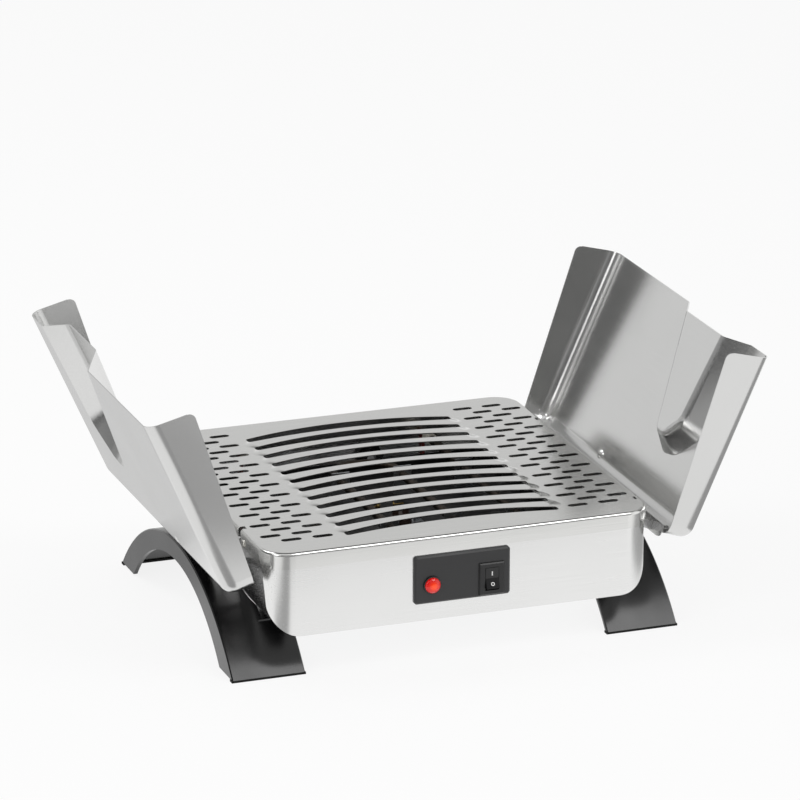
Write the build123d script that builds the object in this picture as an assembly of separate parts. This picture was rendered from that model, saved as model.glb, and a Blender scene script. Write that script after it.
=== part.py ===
from build123d import *
import os
from math import atan2, degrees, radians, sqrt, tan

# Plate warmer cabinet: a heated stainless tray on two black arched feet, with two
# wings that fold up over the plates and meet in the middle, or lie open at the sides.
# Millimetres, +Z up, origin on the ground under the middle. -Y is the front.

# ---- heated tray ---------------------------------------------------------------
LID_TOP = 98.0
LID_HALF_X = 150.0
LID_HALF_Y = 145.7
LID_RIM = 12.5
LID_CORNER = 21.0
LID_EDGE = 2.5
SHEET = 0.8
FIT = 0.3

PAN_BOTTOM = 33.5
PAN_TOP = 95.2
PAN_HALF_X = 148.8
PAN_HALF_Y = 144.6
PAN_WALL = 1.0
PAN_DRAFT = 3.05
PAN_BELLY = 24.0
PAN_CORNER = 20.0
PAN_EDGE = 3.0
PAN_STRAIGHT_Z = 84.0

# ---- slots and crescents in the lid ----------------------------------------------
GRID_X = 1.25
GRID_Y = -116.75
SLOT_PITCH = 12.0
SLOT_ROWS = 21
SLOT_FIRST_X = 99.6
SLOT_LENGTH = 15.5
SLOT_WIDTH = 5.5
CRESCENTS = 12
CRESCENT_PITCH = 20.4
CRESCENT_HALF = 83.0
CRESCENT_FRONT_END = -5.6
CRESCENT_FRONT_MID = 3.4
CRESCENT_REAR_END = 1.8
CRESCENT_REAR_MID = 15.9
CRESCENT_ROUND = 2.2

# ---- feet ------------------------------------------------------------------------
FOOT_INNER_X = 118.3
FOOT_OUTER_X = 174.2
FOOT_HALF_Y = 136.1
FOOT_APEX = 64.0
FOOT_LEG = 30.0
FOOT_UNDER_APEX = 49.5
FOOT_WALL = 3.0
FOOT_SKIN = 3.2
FOOT_EDGE = 0.9
FOOT_FLANGE_X = (144.0, 152.5)
FOOT_FLANGE_Y = 99.0
FOOT_TAB_X = 143.0
FOOT_TAB_Y = (70.0, 101.5)
FOOT_TAB = 3.0
BOSS_RADIUS = 5.0
BOSS_END_X = 160.0
PAD_DEPTH = 1.6
PAD_PROUD = 0.3
PAD_Y = (129.9, 135.2)

# ---- wings, drawn closed and then swung open ---------------------------------------
PIVOT_X = 145.7
PIVOT_Z = 83.2
SWING = 108.25
WING_FOOT_Z = 98.8
WING_RIDGE_Z = 135.05
WING_RIDGE_X = 0.6
WING_WALL_X = 147.9
WING_WALL_Z = 120.1
WING_LIP_X = 143.2
WING_STEP_Z = 102.2
WING_LEAN_X = 3.1
WING_HALF_Y = 147.9
WING_ROUND = 10.0
WING_FREE_CORNER = 5.0
BRIM_OUT = 153.0
BRIM_HALF_Y = 137.5
BRIM_CORNER = 8.0

# ---- finger recess pressed into each wing --------------------------------------------
RECESS_DEPTH = 16.5
RECESS_BACK = -30.0
RECESS_MOUTH = ((RECESS_BACK, -19), (108, 47), (104, 71), (82, 98), (RECESS_BACK, 118))
RECESS_MOUTH_ROUNDS = (0, 14, 22, 22, 0)
RECESS_BED = ((RECESS_BACK, 19), (91, 57), (92, 72), (74, 90), (RECESS_BACK, 100))
RECESS_BED_ROUNDS = (0, 8, 14, 14, 0)
RECESS_RIM = 7.0

# ---- dimple pressed into each wing near its fold -----------------------------------------
DIMPLE_X = 138.4
DIMPLE_Y = 39.0
DIMPLE_RADIUS = 5.0
DIMPLE_DEPTH = 2.2

# ---- hinges --------------------------------------------------------------------------
HINGE_FRONT_Y = -116.75
HINGE_REAR_Y = 80.75
ARM_THICK = 4.0
ARM_DISC = 9.0
ARM_SIDE_GAP = 0.6
ARM_TAB = 15.5
ARM_TAB_THICK = 1.5
ARM_TAB_Z = (103.5, 112.0)
PIN_RADIUS = 1.9
PIN_FIT = 0.05
CHEEK = 2.0
CHEEK_X = (134.5, 147.0)
CHEEK_Z = (74.0, 92.5)
NOTCH_X = 145.2
NOTCH_FLOOR_Z = 71.5
RIM_RIVET_OFFSETS = (26.5, 9.5)
RIM_RIVET_Z = 89.2
ARM_CLEAR = 6.0
ARM_BACK = 0.3
ARM_RIVET_RADIUS = 1.6
ARM_RIVET_Z = 107.0
ARM_RIVET_STEPS = (4.5, 11.0)

# ---- control panel -----------------------------------------------------------------------
PANEL_X = -1.3
PANEL_Z = 65.4
PANEL_WIDE = 74.5
PANEL_TALL = 36.6
PANEL_FRONT = -147.4
PANEL_CORNER = 2.4
LAMP_X = -25.0
LAMP_Z = 61.4
LAMP_RADIUS = 6.0
SWITCH_X = 21.0
SWITCH_Z = 61.0
SWITCH_WIDE = 19.3
SWITCH_TALL = 24.6
ROCKER_WIDE = 10.0
ROCKER_TALL = 16.6
ROCKER_TILT = 9.0
ROCKER_AXIS_Y = PANEL_FRONT + 2.2
ROCKER_CREST = -4.4
ROCKER_PIN = 1.0
BLADE_END = PANEL_FRONT + 28

# ---- inside the tray ---------------------------------------------------------------------
FLOOR_TOP = PAN_BOTTOM + PAN_WALL
COVER_HALF_X = 92.0
COVER_HALF_Y = 100.0
HATCH_HALF_X = 84.0
HATCH_HALF_Y = 92.0
REFLECTOR_Z = 60.0
REFLECTOR_HALF_X = 112.0
REFLECTOR_HALF_Y = 112.0
HEATER_Z = 76.0
HEATER_RADIUS = 3.25
HEATER_X = 75.0
HEATER_BEND = 22.0
HEATER_FRONT_Y = -92.0
HEATER_REAR_Y = 86.0
HEATER_END_Y = 122.0
POST_X = 103.0
POST_Y = 103.0
GLAND_X = 30.0
GLAND_Z = 62.0
GLAND_BORE = 3.6
GLAND_THREAD = 7.9
GLAND_FLANGE = 3.6
GLAND_END = 152.2
TERMINAL_X = 30.0
TERMINAL_Y = 116.0
TERMINAL_HALF_Y = 8.0
TERMINAL_PITCH = 10.0
TERMINAL_ROW = 4.5
EARTH_X = 105.0
EARTH_Y = 128.0
WIRE_Z = FLOOR_TOP + 5.0
WIRE_RADIUS = 1.3
LAMP_WIRE_RADIUS = 1.0


# ---- small building blocks ------------------------------------------------------------------
def block(x0, x1, y0, y1, z0, z1):
    centre = Pos((x0 + x1) / 2, (y0 + y1) / 2, (z0 + z1) / 2)
    return centre * Box(abs(x1 - x0), abs(y1 - y0), abs(z1 - z0))


def rod_x(x0, x1, y, z, radius):
    return Pos((x0 + x1) / 2, y, z) * Rot(0, 90, 0) * Cylinder(radius, abs(x1 - x0))


def rod_y(x, y0, y1, z, radius):
    return Pos(x, (y0 + y1) / 2, z) * Rot(90, 0, 0) * Cylinder(radius, abs(y1 - y0))


def rod_z(x, y, z0, z1, radius):
    return Pos(x, y, (z0 + z1) / 2) * Cylinder(radius, abs(z1 - z0))


def plate_xz(outline, y0, y1):
    """A flat outline of (x, z) points, filled and carried from y0 to y1."""
    face = Plane.XZ * make_face(Polyline(*outline, close=True))
    return Pos(0, y1, 0) * extrude(face, amount=y1 - y0)


def rounded_prism(half_x, half_y, radius, z0, z1):
    return Pos(0, 0, z0) * extrude(RectangleRounded(2 * half_x, 2 * half_y, radius), amount=z1 - z0)


def mirrored_x(shape):
    return mirror(shape, about=Plane.YZ)


def turned(shape):
    """The same piece on the other side: half a turn about the upright axis."""
    return Rot(0, 0, 180) * shape


def opened(shape):
    """A piece of the right wing, drawn closed, swung out to rest."""
    return Pos(PIVOT_X, 0, PIVOT_Z) * Rot(0, SWING, 0) * Pos(-PIVOT_X, 0, -PIVOT_Z) * shape


def gather(pieces):
    return Compound([solid for piece in pieces for solid in piece.solids()])


HINGE_YS = (HINGE_FRONT_Y, HINGE_REAR_Y)


# ---- lid -----------------------------------------------------------------------------------------
def slot_cutters():
    slot = Pos(0, 0, LID_TOP - 3) * extrude(SlotOverall(SLOT_LENGTH, SLOT_WIDTH), amount=6)
    cutters = []
    for row in range(SLOT_ROWS):
        for step in (row % 2, row % 2 + 2):
            reach = SLOT_FIRST_X + SLOT_PITCH * step
            for side in (-1, 1):
                cutters.append(Pos(GRID_X + side * reach, GRID_Y + SLOT_PITCH * row, 0) * slot)
    return cutters


def crescent_cutter(index):
    half = CRESCENT_HALF
    front_end, rear_end = CRESCENT_FRONT_END, CRESCENT_REAR_END
    front = ThreePointArc((-half, front_end), (0, CRESCENT_FRONT_MID), (half, front_end))
    right = Line((half, front_end), (half, rear_end))
    rear = ThreePointArc((half, rear_end), (0, CRESCENT_REAR_MID), (-half, rear_end))
    left = Line((-half, rear_end), (-half, front_end))
    face = make_face([front, right, rear, left])
    face = fillet(face.vertices(), CRESCENT_ROUND)
    place = Pos(GRID_X, GRID_Y + CRESCENT_PITCH * index, LID_TOP - 3)
    return place * extrude(face, amount=6)


def hinge_notches():
    width = ARM_THICK + 2 * ARM_SIDE_GAP
    z0, z1 = NOTCH_FLOOR_Z, LID_TOP + 5
    right = [block(NOTCH_X, 160, y - width / 2, y + width / 2, z0, z1) for y in HINGE_YS]
    return right + [turned(notch) for notch in right]


def rim_rivet_ys():
    return [y + offset for y, offset in zip(HINGE_YS, RIM_RIVET_OFFSETS)]


def rim_rivet_holes():
    right = [rod_x(142, 155, y, RIM_RIVET_Z, 1.8) for y in rim_rivet_ys()]
    return right + [turned(hole) for hole in right]


def make_lid():
    outer = rounded_prism(LID_HALF_X, LID_HALF_Y, LID_CORNER, LID_TOP - LID_RIM, LID_TOP)
    outer = fillet(outer.faces().sort_by(Axis.Z)[-1].edges(), LID_EDGE)
    inner = rounded_prism(
        LID_HALF_X - SHEET, LID_HALF_Y - SHEET, LID_CORNER - SHEET, LID_TOP - LID_RIM - 5, LID_TOP - SHEET
    )
    inner = fillet(inner.faces().sort_by(Axis.Z)[-1].edges(), LID_EDGE - SHEET)
    cutters = slot_cutters() + [crescent_cutter(i) for i in range(CRESCENTS)]
    return outer - inner - cutters - hinge_notches() - rim_rivet_holes()


# ---- pan -----------------------------------------------------------------------------------------
def pan_envelope(inset):
    """The pan's solid shape, shrunk by inset on every wall and the floor."""
    top = PAN_TOP + (5 if inset > 0 else 0)
    half = PAN_HALF_X - inset
    low = PAN_BOTTOM + inset
    foot = half - (PAN_STRAIGHT_Z - low) * tan(radians(PAN_DRAFT))
    right = [(half, top), (half, PAN_STRAIGHT_Z), (foot, low)]
    outline = right + [(-x, z) for x, z in reversed(right)]
    face = make_face(Polyline(*outline, close=True))
    corners = [v for v in face.vertices() if v.Y < low + 1]
    face = fillet(corners, PAN_BELLY - inset)
    along = Pos(0, 200, 0) * extrude(Plane.XZ * face, amount=400)
    upright = rounded_prism(half, PAN_HALF_Y - inset, PAN_CORNER - inset, low, top)
    return along & upright


def control_cutout():
    x0, x1 = PANEL_X - 33.5, PANEL_X + 33.5
    return block(x0, x1, -PAN_HALF_Y - 3, -PAN_HALF_Y + 4, PANEL_Z - 15.5, PANEL_Z + 15.5)


def foot_bolt_spots():
    """Bolts down through the floor of the pan into the right foot."""
    return [(124.6, y) for y in (-80, 80)]


def foot_side_spots():
    """Bolts out through the side wall of the pan into the right foot."""
    return [(y, 56.5) for y in (-26, 26)]


def foot_bolt_holes(radius):
    right = [rod_z(x, y, 22, PAN_BOTTOM + 4, radius) for x, y in foot_bolt_spots()]
    right += [rod_x(140, 158, y, z, radius) for y, z in foot_side_spots()]
    return right + [mirrored_x(hole) for hole in right]


def cover_screw_spots():
    return [(x, y) for x in (-88.0, 88.0) for y in (-96.0, 0.0, 96.0)]


def make_pan():
    pan = pan_envelope(0) - pan_envelope(PAN_WALL)
    hatch = block(-HATCH_HALF_X, HATCH_HALF_X, -HATCH_HALF_Y, HATCH_HALF_Y, PAN_BOTTOM - 2, FLOOR_TOP + 2)
    screw_holes = [rod_z(x, y, PAN_BOTTOM - 2, FLOOR_TOP + 2, 1.5) for x, y in cover_screw_spots()]
    post_holes = [rod_z(x, y, PAN_BOTTOM - 2, FLOOR_TOP + 2, 1.6) for x, y in post_spots()]
    gland_hole = rod_y(GLAND_X, PAN_HALF_Y - 6, PAN_HALF_Y + 6, GLAND_Z, 8.0)
    pan = pan - hatch - screw_holes - post_holes - gland_hole - control_cutout()
    return pan - hinge_notches() - rim_rivet_holes() - foot_bolt_holes(2.1)


def make_bottom_cover():
    z0 = PAN_BOTTOM - 1.2
    cover = rounded_prism(COVER_HALF_X, COVER_HALF_Y, 6, z0, PAN_BOTTOM)
    vents = []
    for row in range(-3, 4):
        for column in (-1, 0, 1):
            vent = Pos(column * 50, row * 22, z0 - 1) * extrude(SlotOverall(36, 5), amount=4)
            vents.append(vent)
    holes = [rod_z(x, y, z0 - 1, PAN_BOTTOM + 1, 1.6) for x, y in cover_screw_spots()]
    return cover - vents - holes


def make_cover_screws():
    screws = []
    for x, y in cover_screw_spots():
        head = rod_z(x, y, PAN_BOTTOM - 3.4, PAN_BOTTOM - 1.2, 3.0)
        head = fillet(head.edges().filter_by(GeomType.CIRCLE).sort_by(Axis.Z)[0], 1.0)
        screws.append(head + rod_z(x, y, PAN_BOTTOM - 1.2, FLOOR_TOP + 3, 1.4))
    return gather(screws)


# ---- feet ------------------------------------------------------------------------------------
def arc_radius(half_span, rise):
    return (half_span ** 2 + rise ** 2) / (2 * rise)


def arch_rod(half_span, apex, base, x0, x1, grow):
    """A lying round bar whose upper side follows one arc of the foot."""
    radius = arc_radius(half_span, apex - base)
    return rod_x(x0, x1, 0, apex - radius, radius + grow)


def make_foot_right():
    """An arched skin with a skirt on its outer side, open below and towards the middle."""
    arch = arch_rod(FOOT_HALF_Y, FOOT_APEX, 0, FOOT_INNER_X, FOOT_OUTER_X, 0)
    arch = chamfer(arch.edges().filter_by(GeomType.CIRCLE), FOOT_EDGE)
    arch &= block(100, 200, -200, 200, PAD_DEPTH, 120)
    arch -= arch_rod(FOOT_HALF_Y - FOOT_LEG, FOOT_UNDER_APEX, 0, 100, 200, 0)
    foot = arch - arch_rod(FOOT_HALF_Y, FOOT_APEX, 0, 100, FOOT_OUTER_X - FOOT_WALL, -FOOT_SKIN)
    foot += arch & block(*FOOT_FLANGE_X, -FOOT_FLANGE_Y, FOOT_FLANGE_Y, PAN_BOTTOM, 120)
    for y, z in foot_side_spots():
        foot += rod_x(FOOT_FLANGE_X[0], BOSS_END_X, y, z, BOSS_RADIUS)
    tab_top = PAN_BOTTOM - FIT
    for side in (-1, 1):
        y0, y1 = side * FOOT_TAB_Y[0], side * FOOT_TAB_Y[1]
        foot += block(FOOT_INNER_X, FOOT_TAB_X, y0, y1, tab_top - FOOT_TAB, tab_top)
    foot -= pan_envelope(-FIT) + block(0, 140, -140, 140, tab_top, 120)
    return foot - foot_bolt_holes(1.7)


def make_foot_pads():
    """A dark strip under each leg."""
    x0, x1 = FOOT_INNER_X - PAD_PROUD, FOOT_OUTER_X + PAD_PROUD
    right = [block(x0, x1, side * PAD_Y[0], side * PAD_Y[1], 0, PAD_DEPTH) for side in (-1, 1)]
    return gather(right + [mirrored_x(pad) for pad in right])


def make_foot_screws():
    right = []
    for x, y in foot_bolt_spots():
        shank = rod_z(x, y, PAN_BOTTOM - 9, FLOOR_TOP + 0.6, 1.7)
        right.append(shank + rod_z(x, y, FLOOR_TOP + 0.6, FLOOR_TOP + 2.8, 3.2))
    for y, z in foot_side_spots():
        wall = PAN_HALF_X - (PAN_STRAIGHT_Z - z) * tan(radians(PAN_DRAFT)) - PAN_WALL
        shank = rod_x(wall - 0.6, 156, y, z, 1.7)
        right.append(shank + rod_x(wall - 2.8, wall - 0.6, y, z, 3.2))
    return gather(right + [mirrored_x(screw) for screw in right])


# ---- wings -------------------------------------------------------------------------------------
def wing_block(inset):
    """The closed right wing as a solid, or with inset its hollow."""
    slope = (WING_RIDGE_Z - WING_WALL_Z) / (WING_WALL_X - WING_RIDGE_X)
    ridge_x = WING_RIDGE_X - (20 if inset else 0)
    lean_x = WING_LEAN_X - (24 if inset else 0)
    foot_z = WING_FOOT_Z - (5 if inset else 0)
    wall_x = WING_WALL_X - inset
    drop = inset * sqrt(1 + slope ** 2)
    ridge_z = WING_WALL_Z + slope * (WING_WALL_X - ridge_x) - drop
    wall_z = WING_WALL_Z + slope * (WING_WALL_X - wall_x) - drop
    outline = [(ridge_x, ridge_z), (wall_x, wall_z), (wall_x, foot_z), (lean_x, foot_z)]
    half_y = WING_HALF_Y - inset
    solid = plate_xz(outline, -half_y, half_y)
    wall = solid.faces().sort_by(Axis.X)[-1]
    top = solid.faces().sort_by(Axis.Z)[-1]
    wanted = [e for e in wall.edges() if e.center().Z > foot_z + 2]
    wanted += [e for e in top.edges() if abs(e.center().Y) > half_y - 1]
    return fillet(wanted, WING_ROUND - inset)


def rounded_outline(points, rounds):
    face = make_face(Polyline(*points, close=True))
    for point, radius in zip(points, rounds):
        if radius:
            corner = face.vertices().sort_by_distance(Vector(*point, 0))[0]
            face = fillet(corner, radius)
    return face


def recess_punch(lower):
    """The pressing tool of the recess, set lower by a sheet for the inside."""
    mouth = rounded_outline(RECESS_MOUTH, RECESS_MOUTH_ROUNDS)
    bed = Pos(0, 0, -RECESS_DEPTH) * rounded_outline(RECESS_BED, RECESS_BED_ROUNDS)
    sides = loft([mouth.faces()[0], bed.faces()[0]], ruled=True)
    low = sides.faces().sort_by(Axis.Z)[0]
    rim = [e for e in low.edges() if e.center().X > RECESS_BACK + 0.5]
    punch = fillet(rim, RECESS_RIM) + extrude(mouth, amount=10)
    slope = degrees(atan2(WING_RIDGE_Z - WING_WALL_Z, WING_WALL_X - WING_RIDGE_X))
    ridge = Pos(WING_RIDGE_X, 0, WING_RIDGE_Z) * Rot(0, slope, 0)
    return ridge * Pos(0, 0, -lower) * punch


def dimple(sheet):
    """The ball that presses the dimple, grown by a sheet for the inside."""
    slope = (WING_RIDGE_Z - WING_WALL_Z) / (WING_WALL_X - WING_RIDGE_X)
    face_z = WING_WALL_Z + slope * (WING_WALL_X - DIMPLE_X)
    ball = Pos(0, 0, DIMPLE_RADIUS - DIMPLE_DEPTH) * Sphere(DIMPLE_RADIUS + sheet)
    return Pos(DIMPLE_X, DIMPLE_Y, face_z) * Rot(0, degrees(atan2(slope, 1)), 0) * ball


def brim():
    z0, z1 = WING_FOOT_Z, WING_FOOT_Z + SHEET
    flat = block(WING_LIP_X - SHEET, BRIM_OUT, -BRIM_HALF_Y, BRIM_HALF_Y, z0, z1)
    outer = [e for e in flat.edges().filter_by(Axis.Z) if e.center().X > BRIM_OUT - 1]
    flat = fillet(outer, BRIM_CORNER)
    half_slot = ARM_THICK / 2 + 0.3
    slot_end = PIVOT_X + ARM_CLEAR + 0.2
    slots = [block(WING_LIP_X, slot_end, y - half_slot, y + half_slot, 95, 103) for y in HINGE_YS]
    return flat - slots


def gutter(inset):
    """The step pressed inwards along the foot of the side wall, between the round corners."""
    half_y = BRIM_HALF_Y + inset
    step = block(WING_LIP_X - inset, 160, -half_y, half_y, 80, WING_STEP_Z + inset)
    corners = [e for e in step.edges().filter_by(Axis.Z) if e.center().X < 150]
    return fillet(corners, 3.0)


def make_wing_right():
    outside = wing_block(0) - turned_recess(0) - gutter(0) - dimple(0)
    inside = wing_block(SHEET) - turned_recess(1.3 * SHEET) - gutter(SHEET) - dimple(SHEET)
    corner_x, corner_z = WING_LEAN_X + WING_FREE_CORNER, WING_FOOT_Z + WING_FREE_CORNER
    free_corner = block(-5, corner_x, -160, 160, 90, corner_z)
    free_corner -= rod_y(corner_x, -160, 160, corner_z, WING_FREE_CORNER)
    wing = outside - inside - free_corner + brim()
    return opened(wing - arm_rivet_holes())


def turned_recess(lower):
    """The recess of the right wing lies in its front half."""
    return mirror(recess_punch(lower), about=Plane.XZ)


# ---- hinges --------------------------------------------------------------------------------------
def arm_rivet_spots():
    return [y + ARM_THICK / 2 + step for y in HINGE_YS for step in ARM_RIVET_STEPS]


def arm_rivet_holes():
    return [rod_x(140, 155, y, ARM_RIVET_Z, ARM_RIVET_RADIUS) for y in arm_rivet_spots()]


def make_arms_right():
    arms = []
    for y in HINGE_YS:
        y0, y1 = y - ARM_THICK / 2, y + ARM_THICK / 2
        disc = rod_y(PIVOT_X, y0, y1, PIVOT_Z, ARM_DISC)
        low = PIVOT_Z - 2
        back, front = PIVOT_X + ARM_BACK, PIVOT_X + ARM_CLEAR
        lip_x, step_z = WING_LIP_X + 0.2, WING_STEP_Z - 0.2
        strap = plate_xz(
            [
                (back, low), (front, low), (front, 106), (WING_WALL_X + 2, ARM_TAB_Z[1]),
                (WING_WALL_X, ARM_TAB_Z[1]), (WING_WALL_X, step_z), (lip_x, step_z),
                (lip_x, WING_FOOT_Z - 0.3), (back, WING_FOOT_Z - 0.3),
            ],
            y0, y1,
        )
        tab = block(WING_WALL_X, WING_WALL_X + ARM_TAB_THICK, y0, y1 + ARM_TAB, ARM_TAB_Z[0], ARM_TAB_Z[1])
        arm = disc + strap + tab - rod_y(PIVOT_X, y0 - 1, y1 + 1, PIVOT_Z, PIN_RADIUS + PIN_FIT)
        arms.append(arm)
    return opened(gather([arm - arm_rivet_holes() for arm in arms]))


def make_arm_rivets_right():
    rivets = []
    inner = WING_WALL_X - SHEET
    outer = WING_WALL_X + ARM_TAB_THICK
    for y in arm_rivet_spots():
        rivet = rod_x(inner, outer, y, ARM_RIVET_Z, ARM_RIVET_RADIUS)
        rivets.append(rivet + rod_x(outer, outer + 1.1, y, ARM_RIVET_Z, 2.8))
    return opened(gather(rivets))


def make_hinge_brackets():
    brackets = []
    for y, rivet_y in zip(HINGE_YS, rim_rivet_ys()):
        gap = ARM_THICK / 2 + ARM_SIDE_GAP
        inner_face = PAN_HALF_X - PAN_WALL
        x0, x1 = CHEEK_X
        cheeks = []
        for side in (-1, 1):
            near, far = y + side * gap, y + side * (gap + CHEEK)
            cheeks.append(block(x0, x1, near, far, CHEEK_Z[0], CHEEK_Z[1]))
        web = block(x0 - 1.5, x0, y - gap - CHEEK, y + gap + CHEEK, CHEEK_Z[0], CHEEK_Z[1])
        flange = block(x1 - 0.7, inner_face, y + gap, rivet_y + 6, 84.6, CHEEK_Z[1])
        bracket = cheeks[0] + cheeks[1] + web + flange
        bracket -= rod_y(PIVOT_X, y - 10, y + 10, PIVOT_Z, PIN_RADIUS)
        bracket -= rod_x(140, 150, rivet_y, RIM_RIVET_Z, 1.8)
        brackets.append(bracket)
    return gather(brackets + [turned(b) for b in brackets])


def make_hinge_pins():
    reach = ARM_THICK / 2 + ARM_SIDE_GAP + CHEEK + 0.8
    right = [rod_y(PIVOT_X, y - reach, y + reach, PIVOT_Z, PIN_RADIUS) for y in HINGE_YS]
    return gather(right + [turned(pin) for pin in right])


def make_rim_rivets():
    rivets = []
    for y in rim_rivet_ys():
        shank = rod_x(PAN_HALF_X - PAN_WALL - 1.5, LID_HALF_X, y, RIM_RIVET_Z, 1.8)
        head = rod_x(LID_HALF_X, LID_HALF_X + 1.2, y, RIM_RIVET_Z, 2.9)
        head = fillet(head.edges().filter_by(GeomType.CIRCLE).sort_by(Axis.X)[-1], 0.9)
        tail_x = PAN_HALF_X - PAN_WALL - 1.5
        rivets.append(shank + head + rod_x(tail_x - 1.0, tail_x, y, RIM_RIVET_Z, 2.6))
    return gather(rivets + [turned(r) for r in rivets])


# ---- control panel ----------------------------------------------------------------------------
def lamp_hole(radius, y0, y1):
    return rod_y(LAMP_X, y0, y1, LAMP_Z, radius)


def make_control_panel():
    face_y = -PAN_HALF_Y
    thick = face_y - PANEL_FRONT
    flat = Pos(PANEL_X, face_y, PANEL_Z) * Rot(90, 0, 0) * extrude(
        RectangleRounded(PANEL_WIDE, PANEL_TALL, PANEL_CORNER), amount=thick
    )
    flat = chamfer(flat.faces().sort_by(Axis.Y)[0].edges(), 1.3)
    skirt = block(PANEL_X - 33.2, PANEL_X + 33.2, face_y, face_y + 7, PANEL_Z - 15.2, PANEL_Z + 15.2)
    skirt -= block(PANEL_X - 31.4, PANEL_X + 31.4, face_y, face_y + 8, PANEL_Z - 13.4, PANEL_Z + 13.4)
    clips = []
    for side in (-1, 1):
        x = PANEL_X + side * 33.2
        clips.append(block(x, x + side * 1.6, face_y + PAN_WALL, face_y + 4, PANEL_Z - 6, PANEL_Z + 6))
    panel = flat + skirt + clips
    opening = block(
        SWITCH_X - 6.6, SWITCH_X + 6.6, face_y - 9, face_y + 9, SWITCH_Z - 10.1, SWITCH_Z + 10.1
    )
    return panel - opening - lamp_hole(4.6, face_y - 9, face_y + 9)


def make_lamp_body():
    face = PANEL_FRONT
    collar = lamp_hole(6.8, face - 1.2, face)
    barrel = lamp_hole(4.5, face, face + 22)
    blades = []
    for x in (LAMP_X - 2, LAMP_X + 2):
        blades.append(block(x - 0.4, x + 0.4, face + 22, BLADE_END, LAMP_Z - 2, LAMP_Z + 2))
    pocket = lamp_hole(3.4, face - 2, face + 8)
    return collar + barrel + blades - pocket


def make_lamp_lens():
    face = PANEL_FRONT - 1.2
    dome_depth = 3.6
    dome = Pos(LAMP_X, face, LAMP_Z) * Sphere(arc_radius(LAMP_RADIUS, dome_depth))
    dome = Pos(0, arc_radius(LAMP_RADIUS, dome_depth) - dome_depth, 0) * dome
    dome &= lamp_hole(LAMP_RADIUS, face - 10, face)
    return dome + lamp_hole(3.3, face, face + 7)


def make_lamp_nut():
    hexagon = RegularPolygon(7.2, 6) - Circle(4.6)
    y = -PAN_HALF_Y + 3.0
    return Pos(LAMP_X, y, LAMP_Z) * Rot(90, 0, 0) * extrude(hexagon, amount=3.0)


def switch_pocket():
    y0 = PANEL_FRONT - 3.2
    return block(
        SWITCH_X - ROCKER_WIDE / 2 - 0.3, SWITCH_X + ROCKER_WIDE / 2 + 0.3, y0, PANEL_FRONT + 6,
        SWITCH_Z - ROCKER_TALL / 2 - 0.5, SWITCH_Z + ROCKER_TALL / 2 + 0.5
    )


def make_switch_body():
    front = PANEL_FRONT - 1.8
    bezel = block(
        SWITCH_X - SWITCH_WIDE / 2, SWITCH_X + SWITCH_WIDE / 2, front, PANEL_FRONT,
        SWITCH_Z - SWITCH_TALL / 2, SWITCH_Z + SWITCH_TALL / 2
    )
    bezel = chamfer(bezel.faces().sort_by(Axis.Y)[0].edges(), 0.8)
    case = block(
        SWITCH_X - 6.4, SWITCH_X + 6.4, PANEL_FRONT, PANEL_FRONT + 20, SWITCH_Z - 9.9, SWITCH_Z + 9.9
    )
    pivot = rod_x(SWITCH_X - 7, SWITCH_X + 7, ROCKER_AXIS_Y, SWITCH_Z, ROCKER_PIN)
    return bezel + case - switch_pocket() + (pivot & case)


def make_rocker():
    """A shallow V of two faces, pressed in at the top."""
    half = ROCKER_TALL / 2 - 0.4
    lean = half * tan(radians(ROCKER_TILT))
    outline = [
        (ROCKER_CREST - lean, half), (ROCKER_CREST + 0.3, 0), (ROCKER_CREST - lean, -half),
        (-1.0, -half), (3.0, -2.6), (3.0, 2.6), (-1.0, half),
    ]
    face = Plane.YZ * make_face(Polyline(*outline, close=True))
    body = Pos(-ROCKER_WIDE / 2, 0, 0) * extrude(face, amount=ROCKER_WIDE)
    body -= rod_x(-10, 10, 0, 0, ROCKER_PIN + PIN_FIT)
    return Pos(SWITCH_X, ROCKER_AXIS_Y, SWITCH_Z) * Rot(-ROCKER_TILT, 0, 0) * body


def make_switch_terminals():
    back = PANEL_FRONT + 20
    blades = []
    for dz in (-6, 0, 6):
        z = SWITCH_Z + dz
        blades.append(block(SWITCH_X - 2.4, SWITCH_X + 2.4, back, BLADE_END, z - 0.4, z + 0.4))
    return gather(blades)


# ---- heater and reflector ---------------------------------------------------------------------
def post_spots():
    return [(x, y) for x in (-POST_X, POST_X) for y in (-POST_Y, POST_Y)]


def make_reflector():
    tray = rounded_prism(REFLECTOR_HALF_X, REFLECTOR_HALF_Y, 8, REFLECTOR_Z, REFLECTOR_Z + 9)
    tray -= rounded_prism(
        REFLECTOR_HALF_X - SHEET, REFLECTOR_HALF_Y - SHEET, 8 - SHEET, REFLECTOR_Z + SHEET, REFLECTOR_Z + 12
    )
    holes = [rod_z(x, y, REFLECTOR_Z - 1, REFLECTOR_Z + 3, 1.7) for x, y in post_spots()]
    return tray - holes


def make_posts():
    posts = []
    for x, y in post_spots():
        hexagon = Pos(x, y, FLOOR_TOP) * extrude(RegularPolygon(4.0, 6), amount=REFLECTOR_Z - FLOOR_TOP)
        posts.append(hexagon - rod_z(x, y, REFLECTOR_Z - 8, REFLECTOR_Z + 1, 1.5))
    return gather(posts)


def make_tray_screws():
    screws = []
    for x, y in post_spots():
        top = REFLECTOR_Z + SHEET
        screws.append(rod_z(x, y, REFLECTOR_Z - 7, top, 1.5) + rod_z(x, y, top, top + 2, 3.0))
    return gather(screws)


def heater_run_xs():
    return [-HEATER_X, -HEATER_X / 3, HEATER_X / 3, HEATER_X]


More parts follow.
